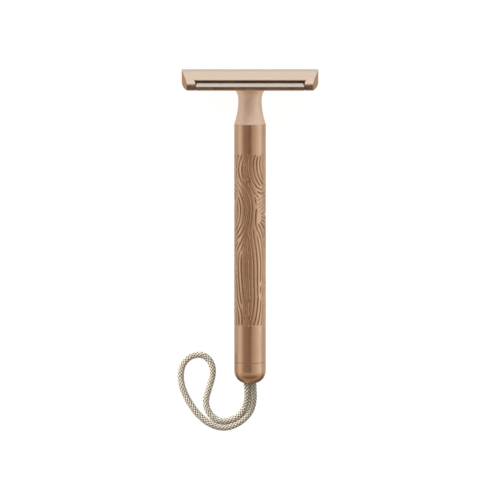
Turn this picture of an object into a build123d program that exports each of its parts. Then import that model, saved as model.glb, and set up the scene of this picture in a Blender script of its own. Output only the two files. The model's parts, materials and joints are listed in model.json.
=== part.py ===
"""Three-piece double-edge safety razor with a cord loop on its end cap, in millimetres.

Each piece is drawn upright: the handle runs along Z with the end cap's foot at Z = 0, X runs across
the head's width and Y across its depth. Every piece is then laid down on the plane Z = 0, where the
razor rests on one safety bar and on the end cap's rim. The cord lies on that plane beside it.
"""

import os
from math import asin, atan2, cos, degrees, hypot, pi, radians, sin, sqrt, tan

from build123d import *

os.makedirs("parts", exist_ok=True)

# Overall
head_top = 110.4
head_bottom = 103.9
face_gap = 0.05

# Blade: 43 x 22 x 0.1, clamped over a flat land and bent down at both sides
blade_length = 43.0
blade_edge_length = 37.2
blade_thickness = 0.1
blade_tab_depth = 14.8
blade_edge_y = 10.67
blade_slot_width = 1.6
blade_slot_length = 34.0
blade_centre_hole = 5.8
blade_post_hole = 3.8

# Bed that the blade is clamped on
bed_land = 4.0
bed_radius = 11.0
bed_centre_z = 97.2
bed_gap = 0.15

# Blade cover
cover_width = 48.0
crown_land = 3.9
cover_front_width = 44.2
cover_lip_y = 10.1
cover_lip_top = 107.75
cover_lip_bottom = 107.2
cover_lip_round = 0.85
cover_lip_radius = 0.13
barrel_arc_radius = 12.0
cavity_half_depth = 9.3
cavity_half_width = 19.15
cheek_y = 12.0
cheek_edge_z = 106.5
cheek_edge_radius = 1.9
cheek_foot_radius = 0.35
cheek_arc_radius = 15.0
cheek_slope = 1.55
cheek_corner_radius = 2.6
cheek_top_radius = 0.45
pocket_half_width = 21.7
pocket_half_depth = 7.7
post_spacing = 27.0
post_radius = 1.5
post_end = 104.3
stud_seat_top = 109.6

# Guard plate
guard_width = 37.9
guard_y = 12.3
guard_corner_radius = 0.35
bar_width = 1.0
bar_round = 0.85
bar_inner_radius = 0.1
bar_top = 105.95
gutter_floor = 104.9
platform_half_depth = 9.9
tongue_width = 43.0
tongue_half_depth = 7.45
stud_hole_radius = 2.75
post_hole_radius = 1.75
drain_count = 6
drain_pitch = 6.2
drain_length = 4.8
drain_width = 1.5
drain_y = 10.5

# M5 stud and its insert
stud_radius = 2.45
stud_foot = 97.9
insert_radius = 3.2
insert_bore = 2.53
insert_foot = 94.4
insert_top = 103.5

# Neck
neck_foot = 91.4
neck_waist_z = 99.8
neck_waist_radius = 4.1
neck_lower_radius = 25.0
neck_flare_radius = 6.4
neck_spigot_length = 9.0
neck_relief_radius = 2.2
neck_relief_foot = 92.4

# Handle
handle_radius = 5.55
handle_bore = 4.0
handle_foot = 7.5
seam_chamfer = 0.18
weight_foot = 16.5
weight_top = 82.0

# End cap, seal and crimp
cap_corner_radius = 4.4
cap_spigot_radius = 3.95
cap_spigot_top = 14.2
cap_chamber_radius = 3.1
cord_hole_radius = 2.5
mouth_radius = 0.25
crimp_foot = 3.0
crimp_top = 8.4
crimp_radius = 3.0
crimp_groove = 0.3
seal_inner = 4.05
seal_outer = 5.1
seal_foot = 7.05

# Cord: the route's points in the lying frame, one every few millimetres
cord_diameter = 2.4
strand_offset = 1.25
cord_floor = 1.3
cord_on_floor = [
    (0.5, -65.1),
    (-3.3, -69.2),
    (-9.0, -71.4),
    (-14.6, -69.6),
    (-19.2, -65.5),
    (-22.6, -60.1),
    (-24.6, -54.5),
    (-24.1, -48.9),
    (-21.0, -45.6),
    (-16.7, -45.0),
    (-13.6, -47.7),
    (-12.9, -52.0),
    (-14.5, -57.0),
    (-15.9, -62.0),
    (-14.3, -66.5),
    (-10.4, -68.8),
    (-5.7, -67.6),
    (-2.5, -64.4),
]


def bed_height(radius, y):
    """Height of a bed surface of this radius at a distance y from the centre plane."""
    return bed_centre_z + sqrt(radius**2 - (y - bed_land) ** 2)


def crown_section(radius, edge_y, edge_z, floor):
    """Section under the crown: a flat land with an arc down to an edge at each side, above a floor."""
    with BuildSketch(Plane.YZ) as section:
        with BuildLine():
            Line((-crown_land, head_top), (crown_land, head_top))
            RadiusArc((crown_land, head_top), (edge_y, edge_z), radius)
            Polyline((edge_y, edge_z), (edge_y, floor), (-edge_y, floor), (-edge_y, edge_z))
            RadiusArc((-edge_y, edge_z), (-crown_land, head_top), radius)
        make_face()
    return section.sketch_local


def bed_section(radius, half_depth):
    """Section from the head's underside up to a bed: a flat land with an arc down to each side."""
    crown = bed_centre_z + radius
    edge = bed_height(radius, half_depth)
    sweep_angle = degrees(asin((half_depth - bed_land) / radius))
    with BuildSketch(Plane.YZ) as section:
        with BuildLine():
            Polyline(
                (-half_depth, edge), (-half_depth, head_bottom), (half_depth, head_bottom), (half_depth, edge)
            )
            CenterArc((bed_land, bed_centre_z), radius, 90 - sweep_angle, sweep_angle)
            Line((bed_land, crown), (-bed_land, crown))
            CenterArc((-bed_land, bed_centre_z), radius, 90, sweep_angle)
        make_face()
    return section.sketch


# Resting pose: the razor touches the plane with the round under a safety bar and the end cap's corner
rest_y = guard_y - guard_corner_radius - (handle_radius - cap_corner_radius)
rest_z = head_bottom + guard_corner_radius - cap_corner_radius
rest_round = guard_corner_radius - cap_corner_radius
tilt = atan2(rest_y, rest_z) + asin(rest_round / hypot(rest_y, rest_z))
foot_height = cap_corner_radius * (1 - sin(tilt)) + (handle_radius - cap_corner_radius) * cos(tilt)
lying_length = head_top * cos(tilt) + crown_land * sin(tilt)
lying_plane = Plane(
    origin=(0, -lying_length / 2, foot_height),
    x_dir=(1, 0, 0),
    z_dir=(0, cos(tilt), sin(tilt)),
)
lying = lying_plane.location

# Blade cover: a barrel over the blade between two full-height cheeks
with BuildPart() as blade_cover:
    with BuildSketch(Plane.YZ) as cheek:
        add(crown_section(cheek_arc_radius, cheek_y, cheek_edge_z, head_bottom))
        fillet(cheek.vertices().group_by(Axis.Y)[1], cheek_edge_radius)
        fillet(cheek.vertices().group_by(Axis.Y)[0], cheek_foot_radius)
    extrude(amount=cover_width / 2, both=True)
    with BuildSketch(Plane.XZ):
        with BuildLine():
            Polyline(
                (-cavity_half_width, head_bottom),
                (cavity_half_width, head_bottom),
                (cavity_half_width, cheek_edge_z),
                (cavity_half_width + cheek_slope, head_top),
                (-cavity_half_width - cheek_slope, head_top),
                (-cavity_half_width, cheek_edge_z),
                close=True,
            )
        make_face()
    extrude(amount=cheek_y, both=True, mode=Mode.SUBTRACT)
    with BuildSketch(Plane.YZ) as barrel:
        add(crown_section(barrel_arc_radius, cover_lip_y, cover_lip_top, cover_lip_bottom))
        fillet(barrel.vertices().group_by(Axis.Y)[1], cover_lip_round)
        fillet(barrel.vertices().group_by(Axis.Y)[0], cover_lip_radius)
    extrude(amount=pocket_half_width, both=True)
    cavity = bed_section(bed_radius + bed_gap, cavity_half_depth)
    extrude(cavity, amount=cavity_half_width, both=True, mode=Mode.SUBTRACT)
    pocket = bed_section(bed_radius + bed_gap, pocket_half_depth)
    extrude(pocket, amount=pocket_half_width, both=True, mode=Mode.SUBTRACT)
    with BuildSketch(Plane.XY.offset(head_bottom)):
        with BuildLine():
            right_end = ThreePointArc(
                (cover_front_width / 2, -cheek_y), (cover_width / 2, 0), (cover_front_width / 2, cheek_y)
            )
            Line(right_end @ 1, (-cover_front_width / 2, cheek_y))
            left_end = ThreePointArc(
                (-cover_front_width / 2, cheek_y), (-cover_width / 2, 0), (-cover_front_width / 2, -cheek_y)
            )
            Line(left_end @ 1, right_end @ 0)
        make_face()
    extrude(amount=head_top - head_bottom, mode=Mode.INTERSECT)
    with BuildSketch(Plane.XZ):
        with Locations((0, (head_top + head_bottom) / 2)):
            front = Rectangle(cover_width, head_top - head_bottom)
        fillet(front.vertices().group_by(Axis.Y)[0], cheek_corner_radius)
        fillet(front.vertices().group_by(Axis.Y)[-1], cheek_top_radius)
    extrude(amount=cheek_y, both=True, mode=Mode.INTERSECT)
    with BuildSketch(Plane.XY.offset(post_end)):
        with GridLocations(post_spacing, 0, 2, 1):
            Circle(post_radius)
    extrude(amount=bed_centre_z + bed_radius + bed_gap - post_end)
    with BuildSketch(Plane.XY.offset(stud_seat_top)):
        Circle(stud_radius)
    extrude(amount=-2, mode=Mode.SUBTRACT)
blade_cover.part.label = "blade_cover"
export_step(blade_cover.part.locate(lying), "parts/blade_cover.step")

# Threaded stud, with its M5 thread drawn as a plain cylinder
with BuildPart() as cover_stud:
    with BuildSketch(Plane.XY.offset(stud_foot)):
        Circle(stud_radius)
    extrude(amount=stud_seat_top - stud_foot)
    chamfer(cover_stud.edges().sort_by(Axis.Z)[0], 0.4)
cover_stud.part.label = "cover_stud"
export_step(cover_stud.part.locate(lying), "parts/cover_stud.step")

# Blade: a bent strip, narrower at its end tabs, with the usual long slot
with BuildPart() as razor_blade:
    upper_face = bed_section(bed_radius + blade_thickness / 2, blade_edge_y)
    extrude(upper_face, amount=blade_length / 2, both=True)
    lower_face = bed_section(bed_radius - blade_thickness / 2, blade_edge_y)
    extrude(lower_face, amount=blade_length / 2, both=True, mode=Mode.SUBTRACT)
    with BuildSketch(Plane.XY.offset(head_bottom)):
        Rectangle(blade_edge_length, 2 * blade_edge_y)
        Rectangle(blade_length, blade_tab_depth)
        SlotOverall(blade_slot_length, blade_slot_width, mode=Mode.SUBTRACT)
        Circle(blade_centre_hole / 2, mode=Mode.SUBTRACT)
        with GridLocations(post_spacing, 0, 2, 1):
            Circle(blade_post_hole / 2, mode=Mode.SUBTRACT)
    extrude(amount=head_top - head_bottom, mode=Mode.INTERSECT)
razor_blade.part.label = "razor_blade"
export_step(razor_blade.part.locate(lying), "parts/razor_blade.step")

# Guard plate: the bed under the blade, a safety bar and a row of drain slots along each side
with BuildPart() as guard_plate:
    with BuildSketch(Plane.YZ) as tray:
        with Locations((0, (bar_top + head_bottom) / 2)):
            Rectangle(2 * guard_y, bar_top - head_bottom)
        with Locations((0, (bar_top + gutter_floor) / 2)):
            Rectangle(2 * (guard_y - bar_width), bar_top - gutter_floor, mode=Mode.SUBTRACT)
        crest = tray.vertices().group_by(Axis.Y)[-1].sort_by(Axis.X)
        fillet(crest[1:3], bar_inner_radius)
        crest = tray.vertices().group_by(Axis.Y)[-1].sort_by(Axis.X)
        fillet([crest[0], crest[-1]], bar_round)
        fillet(tray.vertices().group_by(Axis.Y)[0], guard_corner_radius)
    extrude(amount=guard_width / 2, both=True)
    extrude(bed_section(bed_radius - bed_gap, platform_half_depth), amount=guard_width / 2, both=True)
    extrude(bed_section(bed_radius - bed_gap, tongue_half_depth), amount=tongue_width / 2, both=True)
    with BuildSketch(Plane.XY.offset(head_bottom)):
        Circle(stud_hole_radius)
        with GridLocations(post_spacing, 0, 2, 1):
            Circle(post_hole_radius)
        with GridLocations(drain_pitch, 2 * drain_y, drain_count, 2):
            SlotOverall(drain_length, drain_width)
    extrude(amount=head_top - head_bottom, mode=Mode.SUBTRACT)
guard_plate.part.label = "guard_plate"
export_step(guard_plate.part.locate(lying), "parts/guard_plate.step")

# Neck: a waisted collar on a spigot, bored for the threaded insert
neck_top = head_bottom - face_gap
flare_angle = degrees(asin((neck_top - neck_waist_z) / neck_flare_radius))
lower_angle = degrees(asin((neck_waist_z - neck_foot) / neck_lower_radius))
with BuildPart() as neck_collar:
    with BuildSketch(Plane.XZ):
        with BuildLine():
            lower = CenterArc(
                (neck_waist_radius + neck_lower_radius, neck_waist_z), neck_lower_radius, 180, lower_angle
            )
            flare = CenterArc(
                (neck_waist_radius + neck_flare_radius, neck_waist_z), neck_flare_radius, 180, -flare_angle
            )
            Polyline(
                flare @ 1,
                (insert_radius, neck_top),
                (insert_radius, insert_foot),
                (neck_relief_radius, insert_foot),
                (neck_relief_radius, neck_relief_foot),
                (0, neck_relief_foot),
                (0, neck_foot - neck_spigot_length),
                (handle_bore, neck_foot - neck_spigot_length),
                (handle_bore, neck_foot),
                lower @ 1,
            )
        make_face()
    revolve(axis=Axis.Z)
neck_collar.part.label = "neck_collar"
export_step(neck_collar.part.locate(lying), "parts/neck_collar.step")

# Brass insert with the M5 thread that the stud screws into, drawn as a plain bore
with BuildPart() as threaded_insert:
    with BuildSketch(Plane.XY.offset(insert_foot)):
        Circle(insert_radius)
        Circle(insert_bore, mode=Mode.SUBTRACT)
    extrude(amount=insert_top - insert_foot)
    mouth = threaded_insert.edges().filter_by(GeomType.CIRCLE).group_by(Axis.Z)[-1].sort_by(SortBy.RADIUS)[0]
    chamfer(mouth, 0.3)
threaded_insert.part.label = "threaded_insert"
export_step(threaded_insert.part.locate(lying), "parts/threaded_insert.step")

# Handle sleeve
with BuildPart() as handle_sleeve:
    with BuildSketch(Plane.XY.offset(handle_foot)):
        Circle(handle_radius)
        Circle(handle_bore, mode=Mode.SUBTRACT)
    extrude(amount=neck_foot - handle_foot)
    rims = handle_sleeve.edges().filter_by(GeomType.CIRCLE).sort_by(SortBy.RADIUS)[-2:]
    chamfer(rims, seam_chamfer)
handle_sleeve.part.label = "handle_sleeve"
export_step(handle_sleeve.part.locate(lying), "parts/handle_sleeve.step")

# Ballast rod pressed into the sleeve
with BuildPart() as handle_weight:
    with BuildSketch(Plane.XY.offset(weight_foot)):
        Circle(handle_bore)
    extrude(amount=weight_top - weight_foot)
    chamfer(handle_weight.edges().filter_by(GeomType.CIRCLE), 0.4)
handle_weight.part.label = "handle_weight"
export_step(handle_weight.part.locate(lying), "parts/handle_weight.step")

# End cap: a domed foot with the cord hole, and a threaded spigot around the crimp's chamber
cap_top = handle_foot - face_gap
corner_x = handle_radius - cap_corner_radius
mouth_angle = degrees(asin((cord_hole_radius - corner_x) / cap_corner_radius))
with BuildPart() as end_cap:
    with BuildSketch(Plane.XZ):
        with BuildLine():
            corner = CenterArc(
                (corner_x, cap_corner_radius), cap_corner_radius, mouth_angle - 90, 90 - mouth_angle
            )
            Polyline(
                corner @ 1,
                (handle_radius, cap_top - seam_chamfer),
                (handle_radius - seam_chamfer, cap_top),
                (seal_outer + face_gap, cap_top),
                (seal_outer + face_gap, seal_foot - face_gap),
                (cap_spigot_radius, seal_foot - face_gap),
                (cap_spigot_radius, cap_spigot_top),
                (cap_chamber_radius, cap_spigot_top),
                (cap_chamber_radius, crimp_foot),
                (cord_hole_radius, crimp_foot),
                corner @ 0,
            )
        cap_face = make_face()
        fillet(cap_face.vertices().sort_by(Axis.Y)[0], mouth_radius)
    revolve(axis=Axis.Z)
end_cap.part.label = "end_cap"
export_step(end_cap.part.locate(lying), "parts/end_cap.step")

# Flat rubber ring between the end cap and the sleeve
with BuildPart() as end_cap_seal:
    with BuildSketch(Plane.XY.offset(seal_foot)):
        Circle(seal_outer)
        Circle(seal_inner, mode=Mode.SUBTRACT)
    extrude(amount=cap_top - seal_foot)
end_cap_seal.part.label = "end_cap_seal"
export_step(end_cap_seal.part.locate(lying), "parts/end_cap_seal.step")

# Crimped ferrule on the two cord ends, waisted where it is pressed
with BuildPart() as cord_crimp:
    with BuildSketch(Plane.XZ):
        with BuildLine():
            waist = (crimp_foot + crimp_top) / 2
            Polyline((crimp_radius, crimp_top), (0, crimp_top), (0, crimp_foot), (crimp_radius, crimp_foot))
            ThreePointArc(
                (crimp_radius, crimp_foot), (crimp_radius - crimp_groove, waist), (crimp_radius, crimp_top)
            )
        make_face()
    revolve(axis=Axis.Z)
cord_crimp.part.label = "cord_crimp"
export_step(cord_crimp.part.locate(lying), "parts/cord_crimp.step")


def strand_end(side):
    """The three route points of one strand: crimp, just outside the hole, and halfway down."""
    inside = lying_plane.from_local_coords((side * strand_offset, 0, crimp_foot))
    outside = lying_plane.from_local_coords((side * strand_offset, 0, -1.0))
    sinking = Vector(side * strand_offset + 0.3, outside.Y - 4.4, (foot_height + cord_floor) / 2)
    return [inside, outside, sinking]


def corner_radii(route):
    """The largest arc at each corner that leaves a short straight on both of its runs."""
    radii = []
    for before, corner, after in zip(route, route[1:], route[2:]):
        run = min((corner - before).length, (after - corner).length)
        turn = (corner - before).get_angle(after - corner)
        radii.append(0.45 * run / tan(radians(turn / 2)))
    return radii


# Cord: one tube from the crimp, round the loop and back
cord_route = strand_end(1)
cord_route += [Vector(x, y, cord_floor) for x, y in cord_on_floor]
cord_route += reversed(strand_end(-1))
cord_radii = corner_radii(cord_route)
with BuildPart() as cord_loop:
    with BuildLine() as cord_path:
        FilletPolyline(*cord_route, radius=cord_radii)
    with BuildSketch(Plane(origin=cord_route[0], z_dir=cord_route[1] - cord_route[0])):
        Circle(cord_diameter / 2)
    sweep(path=cord_path.wires()[0])
cord_loop.part.label = "cord_loop"
export_step(cord_loop.part, "parts/cord_loop.step")

print("tilt", round(degrees(tilt), 3), "foot height", round(foot_height, 3))
print("lying length", round(lying_length, 3))
print("cord radii", [round(radius, 1) for radius in cord_radii])
print("cord length", round(cord_path.wires()[0].length, 2))
section_volume = pi * cord_diameter**2 / 4 * cord_path.wires()[0].length
print("cord volume ratio", round(cord_loop.part.volume / section_volume, 4))
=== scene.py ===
"""Looks of the double-edge safety razor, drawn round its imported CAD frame.

Everything is in metres in the row's frame: the razor lies along Y on the plane Z = 0.
Turned pieces are drawn in millimetres about the handle's axis, with z = 0 at the foot,
and the matrix "lying" puts them where the CAD has them.
"""

import json
from math import cos, pi, radians, sin

import bmesh
import bpy
import numpy as np
from mathutils import Matrix, Vector


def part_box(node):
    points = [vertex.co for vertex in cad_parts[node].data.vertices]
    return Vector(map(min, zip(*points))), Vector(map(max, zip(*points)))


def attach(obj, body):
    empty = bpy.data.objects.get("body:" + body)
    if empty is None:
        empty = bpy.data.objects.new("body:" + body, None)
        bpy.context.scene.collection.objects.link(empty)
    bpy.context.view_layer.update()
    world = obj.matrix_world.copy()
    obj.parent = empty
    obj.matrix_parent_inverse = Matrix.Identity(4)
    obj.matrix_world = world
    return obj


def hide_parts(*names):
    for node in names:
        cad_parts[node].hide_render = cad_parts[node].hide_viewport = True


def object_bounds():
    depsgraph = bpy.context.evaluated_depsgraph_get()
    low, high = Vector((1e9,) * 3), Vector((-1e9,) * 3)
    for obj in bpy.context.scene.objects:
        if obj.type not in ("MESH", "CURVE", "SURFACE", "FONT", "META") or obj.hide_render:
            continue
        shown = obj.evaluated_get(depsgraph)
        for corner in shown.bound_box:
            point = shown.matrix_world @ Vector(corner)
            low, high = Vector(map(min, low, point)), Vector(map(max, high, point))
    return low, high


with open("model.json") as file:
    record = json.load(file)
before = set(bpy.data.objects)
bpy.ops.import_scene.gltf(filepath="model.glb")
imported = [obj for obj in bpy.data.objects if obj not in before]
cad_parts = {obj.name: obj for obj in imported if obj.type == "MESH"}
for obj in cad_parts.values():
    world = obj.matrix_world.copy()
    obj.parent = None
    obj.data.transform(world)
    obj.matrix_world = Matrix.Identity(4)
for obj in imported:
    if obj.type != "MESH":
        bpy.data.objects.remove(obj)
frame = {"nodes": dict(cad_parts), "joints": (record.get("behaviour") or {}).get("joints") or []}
cad_low, cad_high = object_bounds()

MM = 0.001

# The handle's axis, from the head's joint, which stands HEAD_BOTTOM above the foot
HEAD_BOTTOM = 103.9
joints = {joint["name"]: joint for joint in frame["joints"]}
axis = Vector(joints["head_turn"]["axis"]).normalized()
foot = Vector(joints["head_turn"]["pos_m"]) - axis * HEAD_BOTTOM * MM
across = Vector((1, 0, 0))
depth = axis.cross(across)
lying = Matrix.Translation(foot) @ Matrix((across, depth, axis)).transposed().to_4x4() @ Matrix.Scale(MM, 4)

# Sizes in millimetres about the axis, as the CAD has them
HANDLE_RADIUS = 5.55
HANDLE_BORE = 4.0
HANDLE_FOOT = 7.5
NECK_FOOT = 91.4
FACE_GAP = 0.05
SEAM_CHAMFER = 0.06
# Turned pieces: points in a ring, and how near to the axis their solid ends reach
AROUND = 240
AXIS_RADIUS = 0.01


# ---------------------------------------------------------------- camera and light


def make_camera():
    """Looks down on the lying razor from far off, leaning a little over the head's end."""
    view_width = 0.176
    distance = 4.0
    lean = radians(1.0)
    centre = (cad_low[1] + cad_high[1]) / 2
    data = bpy.data.cameras.new("camera")
    data.lens = data.sensor_width * distance / view_width
    data.clip_end = 40
    camera = bpy.data.objects.new("camera", data)
    camera.location = (0, centre + distance * sin(lean), distance * cos(lean))
    camera.rotation_euler = (-lean, 0, 0)
    bpy.context.scene.collection.objects.link(camera)
    bpy.context.scene.camera = camera


def studio_white(level):
    """Light from the studio at a level of brightness: the dimmer, the warmer."""
    return (level, level**1.3, level**1.6, 1)


def ramp_node(nodes, links, source, stops):
    """A ramp of studio light over a number from -1 to 1, from (number, level) pairs."""
    share = nodes.new("ShaderNodeMapRange")
    share.inputs["From Min"].default_value = -1
    links.new(source, share.inputs["Value"])
    ramp = nodes.new("ShaderNodeValToRGB")
    elements = ramp.color_ramp.elements
    while len(elements) < len(stops):
        elements.new(0.5)
    for element, (number, level) in zip(elements, stops):
        element.position = (number + 1) / 2
        element.color = studio_white(level)
    links.new(share.outputs["Result"], ramp.inputs[0])
    return ramp.outputs[0]


def blend_node(nodes, links, source, low, high, first, level):
    """Passes softly from a colour to a level of studio light as a number goes from low to high."""
    share = nodes.new("ShaderNodeMapRange")
    share.interpolation_type = "SMOOTHSTEP"
    share.inputs["From Min"].default_value = low
    share.inputs["From Max"].default_value = high
    links.new(source, share.inputs["Value"])
    mix = nodes.new("ShaderNodeMix")
    mix.data_type = "RGBA"
    mix.inputs[7].default_value = studio_white(level)
    links.new(share.outputs["Result"], mix.inputs["Factor"])
    links.new(first, mix.inputs[6])
    return mix.outputs[2]


# Brightness of the studio across the razor, by the X of the direction: bright walls, dim from the left
ACROSS = [
    (-1.0, 1.05),
    (-0.96, 1.05),
    (-0.82, 0.5),
    (-0.5, 0.26),
    (-0.15, 0.38),
    (0.25, 0.55),
    (0.6, 0.7),
    (0.87, 0.95),
    (1.0, 1.25),
]
# Beyond the strip overhead that runs across the razor, from a Y to a Y, and the level reached there
ALONG = [(0.2, 0.82, 1.12), (-0.22, -0.40, 0.74), (-0.45, -0.75, 0.28)]
# The camera's dark outline overhead, a little towards the handle's end
DIM_DIRECTION = (0.0, -0.135, 0.991)
DIM_EDGE = (0.975, 0.993)
DIM_LEVEL = 0.06
# A low wide window at the upper left, which the metal does not mirror
WINDOW_DIRECTION = (-0.68, 0.66, 0.32)
WINDOW_WIDTH = 24
WINDOW_LEVEL = 4.6
WARM_WHITE = (1.0, 0.97, 0.92)


def make_light():
    """A studio tent that is bright at both sides and dim overhead, and a low window."""
    world = bpy.data.worlds.new("studio")
    bpy.context.scene.world = world
    world.use_nodes = True
    nodes, links = world.node_tree.nodes, world.node_tree.links
    coordinates = nodes.new("ShaderNodeTexCoord")
    split = nodes.new("ShaderNodeSeparateXYZ")
    links.new(coordinates.outputs["Generated"], split.inputs[0])
    studio = ramp_node(nodes, links, split.outputs["X"], ACROSS)
    for low, high, level in ALONG:
        studio = blend_node(nodes, links, split.outputs["Y"], low, high, studio, level)
    towards = nodes.new("ShaderNodeVectorMath")
    towards.operation = "DOT_PRODUCT"
    towards.inputs[1].default_value = DIM_DIRECTION
    links.new(coordinates.outputs["Generated"], towards.inputs[0])
    studio = blend_node(nodes, links, towards.outputs["Value"], *DIM_EDGE, studio, DIM_LEVEL)
    links.new(studio, nodes["Background"].inputs["Color"])
    bpy.context.scene.view_settings.view_transform = "Standard"
    data = bpy.data.lights.new("window", "SUN")
    data.energy = WINDOW_LEVEL
    data.angle = radians(WINDOW_WIDTH)
    data.color = WARM_WHITE
    window = bpy.data.objects.new("window", data)
    window.rotation_euler = Vector(WINDOW_DIRECTION).to_track_quat("Z", "Y").to_euler()
    window.visible_glossy = False
    bpy.context.scene.collection.objects.link(window)


FLOOR_SPAN = (-6.0, 6.0)
FLOOR_ALBEDO = 0.15
FLOOR_GLOW = 0.94
# What the metal mirrors from below: dimmer beside the handle than past the head, from a Y to a Y
TABLE_DEPTH = 0.001
TABLE_LEVEL = 0.68
TABLE_BRIGHT_LEVEL = 1.05
TABLE_PASSAGE = (0.057, 0.075)
# Darker cards over it, beside each cheek and past the foot: name, span in X and in Y, level
CARD_DEPTH = 0.0005
CARD_COLOUR = (1, 0.74, 0.52)
CARDS = [
    ("card_left", (-0.075, -0.0243), (0.044, 0.060), 0.5),
    ("card_right", (0.0243, 0.075), (0.044, 0.060), 0.5),
    ("card_foot", (-0.030, 0.030), (-0.100, -0.0555), 0.22),
]


def make_plane(name, height, colour, glow, glow_colour, span_x=FLOOR_SPAN, span_y=FLOOR_SPAN):
    """A flat glowing sheet of the stage."""
    data = bpy.data.meshes.new(name)
    corners = [(span_x[i], span_y[j], height) for i, j in ((0, 0), (1, 0), (1, 1), (0, 1))]
    data.from_pydata(corners, [], [(0, 1, 2, 3)])
    plane = bpy.data.objects.new(name, data)
    bpy.context.scene.collection.objects.link(plane)
    material, shader = new_material(name + "_white")
    shader.inputs["Roughness"].default_value = 0.9
    shader.inputs["Base Color"].default_value = (*colour, 1)
    shader.inputs["Emission Color"].default_value = (*glow_colour, 1)
    shader.inputs["Emission Strength"].default_value = glow
    data.materials.append(material)
    return plane


def make_floor():
    """A white light table on which shadows stay faint, and the sheets below it that the metal mirrors."""
    white, black = (1, 1, 1), (0, 0, 0)
    floor = make_plane("floor", 0, [FLOOR_ALBEDO] * 3, FLOOR_GLOW, white)
    floor.visible_glossy = False
    floor.visible_diffuse = False
    table = make_plane("table", -TABLE_DEPTH, black, TABLE_LEVEL, WARM_WHITE)
    table.visible_camera = False
    material = table.data.materials[0]
    place = add_node(material, "ShaderNodeSeparateXYZ")
    link(material, add_node(material, "ShaderNodeTexCoord").outputs["Object"], place.inputs[0])
    level = remap(material, place.outputs["Y"], TABLE_LEVEL, TABLE_BRIGHT_LEVEL, *TABLE_PASSAGE)
    link(material, level, shader_of(material).inputs["Emission Strength"])
    for name, span_x, span_y, level in CARDS:
        card = make_plane(name, -CARD_DEPTH, black, level, CARD_COLOUR, span_x, span_y)
        card.visible_camera = False


# ---------------------------------------------------------------- material helpers


def new_material(name):
    material = bpy.data.materials.new(name)
    material.use_nodes = True
    return material, shader_of(material)


def add_node(material, kind, **inputs):
    node = material.node_tree.nodes.new(kind)
    for name, value in inputs.items():
        node.inputs[name.replace("_", " ")].default_value = value
    return node


def shader_of(material):
    return material.node_tree.nodes["Principled BSDF"]


def link(material, source, target):
    material.node_tree.links.new(source, target)


def noise(material, scale, detail=3.0, stretch=(1, 1, 1)):
    """Noise over the object's own coordinates, in features per metre, stretched along an axis."""
    coordinates = add_node(material, "ShaderNodeTexCoord")
    mapping = add_node(material, "ShaderNodeMapping", Scale=stretch)
    texture = add_node(material, "ShaderNodeTexNoise", Scale=scale, Detail=detail)
    link(material, coordinates.outputs["Object"], mapping.inputs["Vector"])
    link(material, mapping.outputs["Vector"], texture.inputs["Vector"])
    return texture.outputs["Fac"]


def remap(material, source, low, high, from_low=0.3, from_high=0.7):
    """A factor spread over a new range."""
    node = add_node(material, "ShaderNodeMapRange")
    node.inputs["From Min"].default_value = from_low
    node.inputs["From Max"].default_value = from_high
    node.inputs["To Min"].default_value = low
    node.inputs["To Max"].default_value = high
    link(material, source, node.inputs["Value"])
    return node.outputs["Result"]


def mix_colour(material, factor, first, second):
    """From the first colour to the second, each a colour or another node's socket."""
    node = add_node(material, "ShaderNodeMix")
    node.data_type = "RGBA"
    link(material, factor, node.inputs["Factor"])
    for socket, colour in (("A", first), ("B", second)):
        target = [s for s in node.inputs if s.name == socket and s.type == "RGBA"][0]
        if isinstance(colour, bpy.types.NodeSocket):
            link(material, colour, target)
        else:
            target.default_value = (*colour, 1)
    return [s for s in node.outputs if s.type == "RGBA"][0]


def bump(material, shader, height, strength, distance):
    """Relief from a height, as deep as the distance in metres."""
    node = add_node(material, "ShaderNodeBump", Strength=strength, Distance=distance)
    link(material, height, node.inputs["Height"])
    link(material, node.outputs["Normal"], shader.inputs["Normal"])


def metal(name, light, dark, roughness, grain=0.0):
    """Coated metal: slow changes of tone, uneven roughness and a very fine grain."""
    blotch = 0.03
    tone_scale, patch_scale, grain_scale = 160, 420, 9000
    grain_depth = 0.00002
    material, shader = new_material(name)
    shader.inputs["Metallic"].default_value = 1.0
    tone = remap(material, noise(material, tone_scale, 4), 0, 1)
    link(material, mix_colour(material, tone, dark, light), shader.inputs["Base Color"])
    patches = noise(material, patch_scale, 5)
    uneven = remap(material, patches, roughness - blotch, roughness + blotch)
    link(material, uneven, shader.inputs["Roughness"])
    if grain:
        bump(material, shader, noise(material, grain_scale, 2), grain, grain_depth)
    return material


def rubber_material():
    """Matt black rubber with a fine moulded grain."""
    material, shader = new_material("seal_rubber")
    dark, light = (0.015, 0.015, 0.016), (0.035, 0.034, 0.033)
    tone = remap(material, noise(material, 700, 3), 0, 1)
    link(material, mix_colour(material, tone, dark, light), shader.inputs["Base Color"])
    link(material, remap(material, noise(material, 1500, 3), 0.6, 0.8), shader.inputs["Roughness"])
    bump(material, shader, noise(material, 6000, 2), 0.3, 0.00003)
    return material


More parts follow.
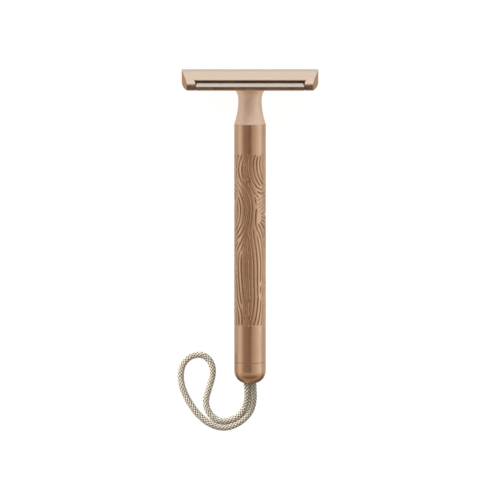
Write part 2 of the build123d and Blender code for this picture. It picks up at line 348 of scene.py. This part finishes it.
def steel_material():
    """Blade steel: fine streaks along the strip, and brighter ground bands along both edges."""
    streak_stretch = (0.05, 6, 6)
    streak_colour = (0.50, 0.53, 0.58)
    ground_colour = (0.92, 0.94, 0.97)
    ground_from = (0.00985, 0.00995)
    material = metal("blade_steel", (0.76, 0.80, 0.86), (0.66, 0.70, 0.76), 0.18)
    shader = shader_of(material)
    plain = shader.inputs["Base Color"].links[0].from_socket
    streaks = remap(material, noise(material, 300, 4, streak_stretch), 0, 0.35)
    streaked = mix_colour(material, streaks, plain, streak_colour)
    place = add_node(material, "ShaderNodeSeparateXYZ")
    link(material, add_node(material, "ShaderNodeTexCoord").outputs["Object"], place.inputs[0])
    from_middle = add_node(material, "ShaderNodeMath")
    from_middle.operation = "SUBTRACT"
    link(material, place.outputs["Z"], from_middle.inputs[0])
    from_middle.inputs[1].default_value = sum(corner[2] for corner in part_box("razor_blade")) / 2
    distance = add_node(material, "ShaderNodeMath")
    distance.operation = "ABSOLUTE"
    link(material, from_middle.outputs[0], distance.inputs[0])
    ground = remap(material, distance.outputs[0], 0, 1, *ground_from)
    link(material, mix_colour(material, ground, streaked, ground_colour), shader.inputs["Base Color"])
    return material


# ---------------------------------------------------------------- mesh helpers


def add_piece(name, vertices, faces, material, body, replaced):
    """A mesh piece in the row's frame, on a body, in place of a CAD node."""
    data = bpy.data.meshes.new(name)
    data.from_pydata([tuple(v) for v in vertices], [], faces)
    shell = bmesh.new()
    shell.from_mesh(data)
    bmesh.ops.holes_fill(shell, edges=shell.edges)
    bmesh.ops.recalc_face_normals(shell, faces=shell.faces)
    shell.to_mesh(data)
    shell.free()
    data.shade_smooth()
    piece = bpy.data.objects.new(name, data)
    bpy.context.scene.collection.objects.link(piece)
    data.materials.append(material)
    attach(piece, body)
    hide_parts(*replaced)
    return piece


def add_values(piece, name, values):
    """A number on each of the piece's points, for its material."""
    layer = piece.data.attributes.new(name, "FLOAT", "POINT")
    layer.data.foreach_set("value", np.asarray(values, float).ravel())


def lay_down(points):
    """Points in millimetres about the axis, as points in the row's frame."""
    matrix = np.array(lying)
    return np.asarray(points) @ matrix[:3, :3].T + matrix[:3, 3]


def grid_faces(rows, columns, offset=0):
    """Quads between closed rings of points, one ring after the other."""
    faces = []
    for row in range(rows - 1):
        start = offset + row * columns
        for column in range(columns):
            near, beside = start + column, start + (column + 1) % columns
            faces.append((near, beside, beside + columns, near + columns))
    return faces


def closed_faces(rows, columns):
    """Quads between closed rings of points, and from the last ring back to the first."""
    faces = grid_faces(rows, columns)
    last = (rows - 1) * columns
    for column in range(columns):
        following = (column + 1) % columns
        faces.append((last + column, last + following, following, column))
    return faces


def arc(centre, radius, start, end, steps):
    """Points on an arc in a turned profile, as (radius, height), with angles in degrees."""
    angles = np.radians(np.linspace(start, end, steps))
    return [(centre[0] + radius * cos(a), centre[1] + radius * sin(a)) for a in angles]


def round_corners(profile, radius):
    """A closed profile with each sharp corner eased by a small round."""
    sharp = 25
    steps = 4
    share_of_side = 0.4
    eased = []
    count = len(profile)
    for index, corner in enumerate(profile):
        corner = np.array(corner, float)
        before = np.array(profile[index - 1], float) - corner
        after = np.array(profile[(index + 1) % count], float) - corner
        before_length, after_length = np.linalg.norm(before), np.linalg.norm(after)
        straightness = -before @ after / (before_length * after_length)
        turn = np.degrees(np.arccos(np.clip(straightness, -1, 1)))
        reach = min(radius, share_of_side * before_length, share_of_side * after_length)
        if turn < sharp or reach <= 0:
            eased.append(tuple(corner))
            continue
        start = corner + before / before_length * reach
        end = corner + after / after_length * reach
        for t in np.linspace(0, 1, steps):
            point = (1 - t) ** 2 * start + 2 * t * (1 - t) * corner + t**2 * end
            eased.append(tuple(point))
    return eased


def thread_cut(heights, angles, low, high, pitch, thread_depth):
    """Depth of a right-hand V thread between two heights, which fades out over half a turn."""
    turns = (heights - low) / pitch - angles / (2 * pi)
    wave = 1 - np.abs(2 * (turns % 1) - 1)
    fade = np.clip(np.minimum(heights - low, high - heights) / (pitch / 2), 0, 1)
    return thread_depth * wave * fade


def turned(name, profile, material, body, replaced, around=AROUND, ease=0.06, thread=None):
    """A closed profile of (radius, height) in millimetres, turned about the handle's axis.

    A thread is cut at one radius, as (radius, low, high, pitch, depth).
    """
    outline = round_corners(profile, ease)
    angles = np.linspace(0, 2 * pi, around, endpoint=False)
    radii, heights = (np.repeat(column[:, None], around, 1) for column in np.array(outline).T)
    if thread:
        thread_radius, *cut = thread
        threaded = np.isclose(radii, thread_radius, rtol=0, atol=0.001)
        radii = radii - threaded * thread_cut(heights, angles, *cut)
    points = np.stack([radii * np.cos(angles), radii * np.sin(angles), heights], -1).reshape(-1, 3)
    faces = closed_faces(len(outline), around)
    return add_piece(name, lay_down(points), faces, material, body, replaced)


# ---------------------------------------------------------------- cord

# The route of the cord, as the CAD has it: crimp, cord hole, round the loop and back
CORD_FLOOR = 1.3
ROUTE = [
    (1.1, -52.21, 5.45),
    (1.1, -56.20, 5.18),
    (1.4, -60.60, 3.28),
    (0.5, -65.1, CORD_FLOOR),
    (-3.3, -69.2, CORD_FLOOR),
    (-9.0, -71.4, CORD_FLOOR),
    (-14.6, -69.6, CORD_FLOOR),
    (-19.2, -65.5, CORD_FLOOR),
    (-22.6, -60.1, CORD_FLOOR),
    (-24.6, -54.5, CORD_FLOOR),
    (-24.1, -48.9, CORD_FLOOR),
    (-21.0, -45.6, CORD_FLOOR),
    (-16.7, -45.0, CORD_FLOOR),
    (-13.6, -47.7, CORD_FLOOR),
    (-12.9, -52.0, CORD_FLOOR),
    (-14.5, -57.0, CORD_FLOOR),
    (-15.9, -62.0, CORD_FLOOR),
    (-14.3, -66.5, CORD_FLOOR),
    (-10.4, -69.0, CORD_FLOOR),
    (-5.45, -68.05, CORD_FLOOR),
    (-2.15, -64.8, CORD_FLOOR),
    (-0.85, -60.60, 3.28),
    (-1.1, -56.20, 5.18),
    (-1.1, -52.21, 5.45),
]
CORD_STEP = 0.25
# The braid: strands of each hand, millimetres for one turn, and how far a strand weaves in and out
CARRIERS = 6
BRAID_TURN = 7.6
BRAID_RADIUS = 0.89
BRAID_WEAVE = 0.16
STRAND_HALF_WIDTH = 0.3
STRAND_HALF_HEIGHT = 0.2
STRAND_SIDES = 8
CORE_RADIUS = 0.66
CORE_SIDES = 12


def cord_centreline():
    """Points of the route's own NURBS line, in metres."""
    curve = bpy.data.curves.new("cord_route", "CURVE")
    curve.dimensions = "3D"
    curve.resolution_u = 12
    spline = curve.splines.new("NURBS")
    spline.points.add(len(ROUTE) - 1)
    for point, place in zip(spline.points, ROUTE):
        point.co = (*(value * MM for value in place), 1)
    spline.order_u = 3
    spline.use_endpoint_u = True
    holder = bpy.data.objects.new("cord_route", curve)
    bpy.context.scene.collection.objects.link(holder)
    bpy.context.view_layer.update()
    line = bpy.data.meshes.new_from_object(holder)
    points = np.array([vertex.co for vertex in line.vertices])
    bpy.data.objects.remove(holder)
    return points


def even_points(points, step):
    """The same line with points at even distances, and their distances from its start."""
    lengths = np.r_[0, np.cumsum(np.linalg.norm(np.diff(points, axis=0), axis=1))]
    count = int(lengths[-1] / step) + 1
    distances = np.linspace(0, lengths[-1], count)
    return np.stack([np.interp(distances, lengths, points[:, i]) for i in range(3)], 1), distances


def tangents_of(line):
    tangents = np.gradient(line, axis=0)
    return tangents / np.linalg.norm(tangents, axis=1)[:, None]


def carried_frames(points):
    """Two directions square to the line at each point, carried along it without twist."""
    tangents = tangents_of(points)
    side = np.cross(tangents[0], (0, 0, 1.0))
    sides = []
    for tangent in tangents:
        side = side - tangent * (side @ tangent)
        side /= np.linalg.norm(side)
        sides.append(side.copy())
    sides = np.array(sides)
    return sides, np.cross(tangents, sides)


def tube_rings(line, half_width, half_height, outward, sides):
    """Elliptic rings along a line: flat way across, thin way along the outward direction."""
    sideways = np.cross(tangents_of(line), outward)
    sideways /= np.linalg.norm(sideways, axis=1)[:, None]
    rings = []
    for angle in np.linspace(0, 2 * pi, sides, endpoint=False):
        arm = sideways * half_width * cos(angle) + outward * half_height * sin(angle)
        rings.append(line + arm * MM)
    return np.stack(rings, 1).reshape(-1, 3)


def make_cord():
    """A round braid: strands of both hands pass over and under each other round a core, which painted shade
    makes dark.
    """
    centre, along = even_points(cord_centreline(), CORD_STEP * MM)
    side, up = carried_frames(centre)
    turn = 2 * pi * along / (BRAID_TURN * MM)
    vertices, faces = [], []
    count = 0
    for hand in (1, -1):
        radius = (BRAID_RADIUS + hand * BRAID_WEAVE * np.cos(CARRIERS * turn)) * MM
        for carrier in range(CARRIERS):
            angle = 2 * pi * carrier / CARRIERS + hand * turn
            outward = side * np.cos(angle)[:, None] + up * np.sin(angle)[:, None]
            line = centre + outward * radius[:, None]
            strand = tube_rings(line, STRAND_HALF_WIDTH, STRAND_HALF_HEIGHT, outward, STRAND_SIDES)
            vertices.append(strand)
            faces += grid_faces(len(centre), STRAND_SIDES, count)
            count += len(strand)
    vertices.append(tube_rings(centre, CORE_RADIUS, CORE_RADIUS, up, CORE_SIDES))
    faces += grid_faces(len(centre), CORE_SIDES, count)
    rings = np.concatenate(vertices)
    cord = add_piece("braided_cord", rings, faces, cord_material(), "end_cap", ["cord_loop"])
    # Each point's distance from the cord's middle, which the material turns into painted shade where it
    # lies low
    middle = np.concatenate([np.repeat(centre, len(v) // len(centre), 0) for v in vertices])
    add_values(cord, "height", np.linalg.norm(rings - middle, axis=1) / MM)


def cord_material():
    """Natural fibre: cream strands with twisted-yarn bumps, and painted shade that darkens them where they
    dip under each other and darkens the core.
    """
    material, shader = new_material("cord_natural")
    # Painted shade: the near-black colour stands for the shade where strands dip under each other and on
    # the core
    dark_fibre, light_fibre, painted_gap_shade = (0.50, 0.465, 0.38), (0.84, 0.80, 0.70), (0.035, 0.03, 0.022)
    raised_from = (0.93, 1.15)
    tone = remap(material, noise(material, 2600, 3), 0, 1)
    strand = mix_colour(material, tone, dark_fibre, light_fibre)
    height = add_node(material, "ShaderNodeAttribute")
    height.attribute_name = "height"
    raised = remap(material, height.outputs["Fac"], 0, 1, *raised_from)
    link(material, mix_colour(material, raised, painted_gap_shade, strand), shader.inputs["Base Color"])
    shader.inputs["Roughness"].default_value = 0.85
    shader.inputs["Sheen Weight"].default_value = 0.3
    shader.inputs["Sheen Roughness"].default_value = 0.5
    bump(material, shader, noise(material, 5200, 3), 0.5, 0.00008)
    return material


# ---------------------------------------------------------------- engraved handle

PATTERN_FOOT = 20.6
PATTERN_TOP = 80.8
PATTERN_STEP = 0.155
PATTERN_MARGIN = 6.0
# The field of directions: how far one direction carries before it has turned into another
FIELD_REACH = 4.0
# The lines: how often and along how many directions the noise is filtered, and how sharply
LINE_SPACING = 1.4
LINE_PASSES = 40
LINE_DIRECTIONS = 24
LINE_REACH_ACROSS = 0.75
LINE_REACH_ALONG = 0.9
LINE_CONTRAST = 1.6
EVENING_REACH = 1.2
EVENING_FLOOR = 0.02
PATTERN_SEED = 23
# The cut: line strengths at which a groove starts and is at its full depth
GROOVE_START = 0.5
GROOVE_FLOOR = 1.3
GROOVE_DEPTH = 0.3
# Smooth rows beside the engraving, in pattern steps, that keep its shading to itself
PLAIN_ROWS = (2 * PATTERN_STEP, PATTERN_STEP)


def engraved_lines():
    """Line strengths over (height, way round), with the heights of the rows.

    Smooth noise gives a field of directions, which loops and forks at places of its own. More
    noise, filtered again and again along that field, settles into evenly spaced lines.
    """
    girth = 2 * pi * HANDLE_RADIUS
    rows = int((PATTERN_TOP - PATTERN_FOOT + 2 * PATTERN_MARGIN) / PATTERN_STEP)
    shape = (rows, AROUND)
    heights = PATTERN_FOOT - PATTERN_MARGIN + np.arange(rows) * PATTERN_STEP
    rate_u, rate_v = np.meshgrid(np.fft.fftfreq(AROUND, girth / AROUND), np.fft.fftfreq(rows, PATTERN_STEP))
    draws = np.random.default_rng(PATTERN_SEED)
    smoothing = np.exp(-2 * pi**2 * FIELD_REACH**2 * (rate_u**2 + rate_v**2))
    real, imaginary = draws.standard_normal((2, *shape))
    field = np.fft.ifft2(np.fft.fft2(real + 1j * imaginary) * smoothing)
    steps = LINE_DIRECTIONS
    choice = (np.angle(field) / 2 % pi) / pi * steps
    lower = np.floor(choice).astype(int) % steps
    share = choice - np.floor(choice)
    filters = []
    for step in range(steps):
        angle = pi * step / steps
        across_line = rate_v * cos(angle) - rate_u * sin(angle)
        along_line = rate_u * cos(angle) + rate_v * sin(angle)
        passed = 0
        for sign in (1, -1):
            spread = LINE_REACH_ACROSS**2 * (across_line - sign / LINE_SPACING) ** 2
            spread += LINE_REACH_ALONG**2 * along_line**2
            passed = passed + np.exp(-2 * pi**2 * spread)
        filters.append(passed)
    evening = np.exp(-2 * pi**2 * EVENING_REACH**2 * (rate_u**2 + rate_v**2))
    lines = draws.standard_normal(shape)
    for _ in range(LINE_PASSES):
        spectrum = np.fft.fft2(np.tanh(LINE_CONTRAST * lines))
        lines = np.zeros(shape)
        for step, passed in enumerate(filters):
            near = np.where(lower == step, 1 - share, 0) + np.where((lower + 1) % steps == step, share, 0)
            lines += near * np.real(np.fft.ifft2(spectrum * passed))
        power = np.real(np.fft.ifft2(np.fft.fft2(lines**2) * evening))
        lines /= np.sqrt(power + EVENING_FLOOR * lines.var())
    inside = (heights >= PATTERN_FOOT) & (heights <= PATTERN_TOP)
    return heights[inside], lines[inside]


def smooth_step(values):
    """Eases numbers from 0 to 1."""
    values = np.clip(values, 0, 1)
    return values * values * (3 - 2 * values)


def make_handle():
    """The sleeve with its engraved lines cut into a fine grid, and its plain ends and bore."""
    heights, lines = engraved_lines()
    cut = smooth_step((lines - GROOVE_START) / (GROOVE_FLOOR - GROOVE_START))
    cut[0] = 0
    cut[-1] = 0
    angles = np.linspace(-pi, pi, AROUND, endpoint=False)
    rim = [
        (HANDLE_BORE, 0),
        (HANDLE_RADIUS - SEAM_CHAMFER, 0),
        (HANDLE_RADIUS, SEAM_CHAMFER),
        (HANDLE_RADIUS, 2 * SEAM_CHAMFER),
    ]
    foot_end = [(r, HANDLE_FOOT + z) for r, z in rim]
    foot_end += [(HANDLE_RADIUS, PATTERN_FOOT - 2 * step) for step in PLAIN_ROWS]
    head_end = [(HANDLE_RADIUS, PATTERN_TOP + 2 * step) for step in reversed(PLAIN_ROWS)]
    head_end += [(r, NECK_FOOT - z) for r, z in reversed(rim)]
    radii = [np.full(AROUND, r) for r, z in foot_end]
    levels = [z for r, z in foot_end]
    for height, row in zip(heights, cut):
        radii.append(HANDLE_RADIUS - GROOVE_DEPTH * row)
        levels.append(height)
    radii += [np.full(AROUND, r) for r, z in head_end]
    levels += [z for r, z in head_end]
    radii, levels = np.array(radii), np.array(levels)
    heights_round = np.repeat(levels[:, None], AROUND, 1)
    points = np.stack([radii * np.sin(angles), -radii * np.cos(angles), heights_round], -1).reshape(-1, 3)
    faces = closed_faces(len(levels), AROUND)
    material = handle_material()
    handle = add_piece("engraved_handle", lay_down(points), faces, material, "handle", ["handle_sleeve"])
    # How deep each point is cut, which the material turns into painted shade in the grooves
    depths = np.zeros(radii.shape)
    depths[len(foot_end) : len(foot_end) + len(cut)] = cut
    add_values(handle, "cut", depths)


def handle_material():
    """Fine matt rose-gold anodising, with painted shade that darkens the bottom of the engraved lines."""
    material = metal("anodised_rose_gold", (0.66, 0.43, 0.285), (0.62, 0.395, 0.255), 0.30, grain=0.08)
    shader = shader_of(material)
    plain = shader.inputs["Base Color"].links[0].from_socket
    cut = add_node(material, "ShaderNodeAttribute")
    cut.attribute_name = "cut"
    # Painted shade: towards the bottom of each engraved line the colour darkens to a deep brown, standing
    # in for the shade that falls in the groove
    darker = remap(material, cut.outputs["Fac"], 0, 0.6, 0, 1)
    link(material, mix_colour(material, darker, plain, (0.30, 0.16, 0.09)), shader.inputs["Base Color"])
    return material


# ---------------------------------------------------------------- turned pieces

# Threads: radius, low, high, pitch and depth
CAP_THREAD = (3.95, 7.3, 13.9, 1.0, 0.4)
STUD_THREAD = (2.45, 98.4, 108.0, 0.8, 0.4)


def make_stud(material):
    """The threaded stud that draws the head together."""
    foot, seat, chamfer = 97.9, 109.6, 0.4
    radius, low, high = STUD_THREAD[:3]
    profile = [
        (AXIS_RADIUS, foot),
        (radius - chamfer, foot),
        (radius, foot + chamfer),
        *[(radius, z) for z in np.linspace(low, high, 150)[1:]],
        (radius, seat),
        (AXIS_RADIUS, seat),
    ]
    stud = turned("threaded_stud", profile, material, "cover", ["cover_stud"], 96, 0.05, STUD_THREAD)


def make_neck(material):
    """The waisted neck on its spigot, bored for the insert and for the stud's end."""
    waist, waist_radius, lower_radius, flare_radius = 99.8, 4.1, 25.0, 6.4
    insert_radius, insert_foot = 3.2, 94.4
    relief_radius, relief_foot = 2.2, 92.4
    spigot_foot = NECK_FOOT - 9
    top = HEAD_BOTTOM - FACE_GAP
    lower_angle = np.degrees(np.arcsin((waist - NECK_FOOT) / lower_radius))
    flare_angle = np.degrees(np.arcsin((top - waist) / flare_radius))
    profile = [
        (HANDLE_BORE, spigot_foot),
        (HANDLE_BORE, NECK_FOOT),
        *arc((waist_radius + lower_radius, waist), lower_radius, 180 + lower_angle, 180, 24),
        *arc((waist_radius + flare_radius, waist), flare_radius, 180, 180 - flare_angle, 20)[1:],
        (insert_radius, top),
        (insert_radius, insert_foot),
        (relief_radius, insert_foot),
        (relief_radius, relief_foot),
        (AXIS_RADIUS, relief_foot),
        (AXIS_RADIUS, spigot_foot),
    ]
    neck = turned("waisted_neck", profile, material, "handle", ["neck_collar"], around=160, ease=0.05)


def make_end_cap(material):
    """The domed foot with the cord's hole, and the threaded spigot round the crimp's chamber."""
    corner = 4.4
    hole = 2.5
    seat_radius, seat = 5.15, 7.0
    spigot_top = 14.2
    chamber_radius, chamber_foot = 3.1, 3.0
    spigot_radius, low, high = CAP_THREAD[:3]
    corner_x = HANDLE_RADIUS - corner
    top = HANDLE_FOOT - FACE_GAP
    mouth = np.degrees(np.arcsin((hole - corner_x) / corner)) - 90
    profile = [
        *arc((corner_x, corner), corner, mouth, 0, 32),
        (HANDLE_RADIUS, top - SEAM_CHAMFER),
        (HANDLE_RADIUS - SEAM_CHAMFER, top),
        (seat_radius, top),
        (seat_radius, seat),
        (spigot_radius, seat),
        *[(spigot_radius, z) for z in np.linspace(low, high, 72)],
        (spigot_radius, spigot_top),
        (chamber_radius, spigot_top),
        (chamber_radius, chamber_foot),
        (hole, chamber_foot),
    ]
    cap = turned("domed_end_cap", profile, material, "end_cap", ["end_cap"], 160, 0.04, CAP_THREAD)


# ---------------------------------------------------------------- build


make_camera()
make_light()
make_cord()
make_floor()

head_metal = metal("satin_rose_gold", (0.70, 0.56, 0.455), (0.68, 0.54, 0.435), 0.22, grain=0.03)
# Painted light: the neck has the head's plating, but its colour is painted brighter to stand in for light
# it does not get under the dim overhead
neck_metal_painted_bright = metal("satin_rose_gold_neck_painted_bright", (0.98, 0.79, 0.635), (0.96, 0.77, 0.615), 0.6, grain=0.05)
cap_metal = metal("anodised_cap", (0.66, 0.43, 0.285), (0.62, 0.395, 0.255), 0.30, grain=0.08)
steel = steel_material()
stud_steel = metal("stud_steel", (0.6, 0.6, 0.6), (0.45, 0.45, 0.45), 0.3)
brass = metal("turned_brass", (0.80, 0.62, 0.30), (0.70, 0.52, 0.24), 0.3)
crimp_metal = metal("crimp_aluminium", (0.8, 0.8, 0.8), (0.6, 0.6, 0.6), 0.35)
rubber = rubber_material()

make_handle()
make_neck(neck_metal_painted_bright)
make_end_cap(cap_metal)
make_stud(stud_steel)
kept = {
    "blade_cover": head_metal,
    "guard_plate": head_metal,
    "razor_blade": steel,
    "threaded_insert": brass,
    "handle_weight": brass,
    "end_cap_seal": rubber,
    "cord_crimp": crimp_metal,
}
for node, material in kept.items():
    frame["nodes"][node].data.materials.clear()
    frame["nodes"][node].data.materials.append(material)
